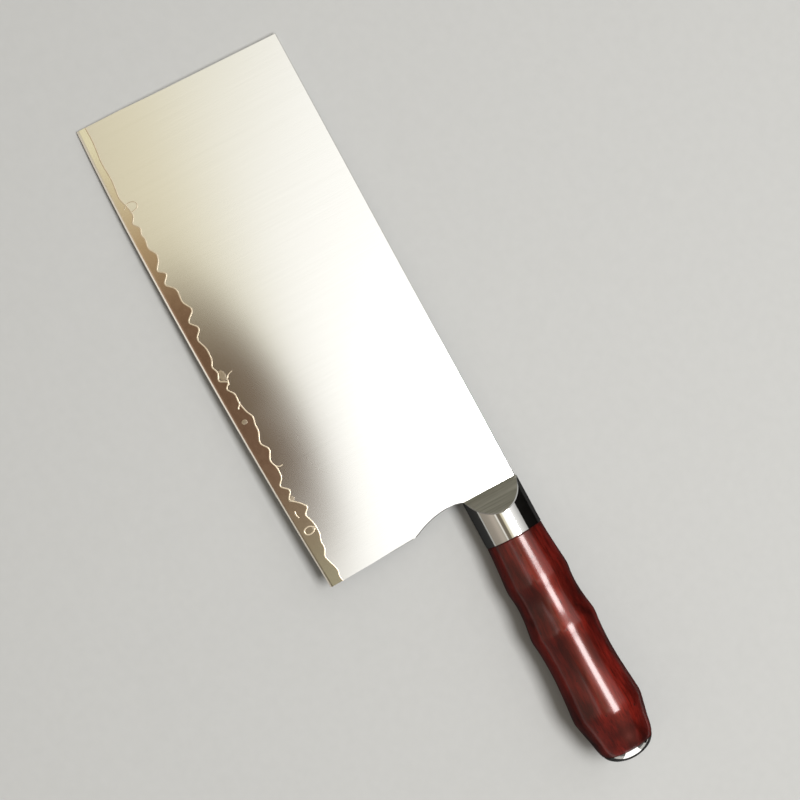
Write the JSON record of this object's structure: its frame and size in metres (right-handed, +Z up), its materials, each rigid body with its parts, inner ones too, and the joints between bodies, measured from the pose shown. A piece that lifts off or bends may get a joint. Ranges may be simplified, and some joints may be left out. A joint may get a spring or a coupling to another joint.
{
  "type": "chinese cleaver",
  "caption": "Cleaver with a tall rectangular clad blade, a wavy clad line, a steel bolster with half-moon flats, a round cane-shaped wooden grip and a domed end cap.",
  "frame": {"origin": "under the middle of the whole knife, level with the underside of the handle's swell, with the knife lying on its right side and the blade level", "axes": "+X from the blade towards the handle, +Y from the cutting edge towards the spine, +Z up, out of the blade's left side"},
  "size_m": [0.313, 0.09, 0.0288],
  "materials": {
    "core_steel": "dark satin, etched beside the clad line, with a bright ground edge",
    "cladding_steel": "fine brushed satin",
    "polished_steel": "mirror polish, brushed on the half-moon flats",
    "rosewood": "deep red, glossy lacquer",
    "plain_steel": "plain turned"
  },
  "bodies": {
    "root": {"blade_core": "core_steel", "cladding_left": "cladding_steel", "cladding_right": "cladding_steel", "bolster": "polished_steel", "grip": "rosewood", "end_cap": "polished_steel", "tang_rod": "plain_steel", "washer": "plain_steel", "nut": "plain_steel"}
  },
  "joints": []
}
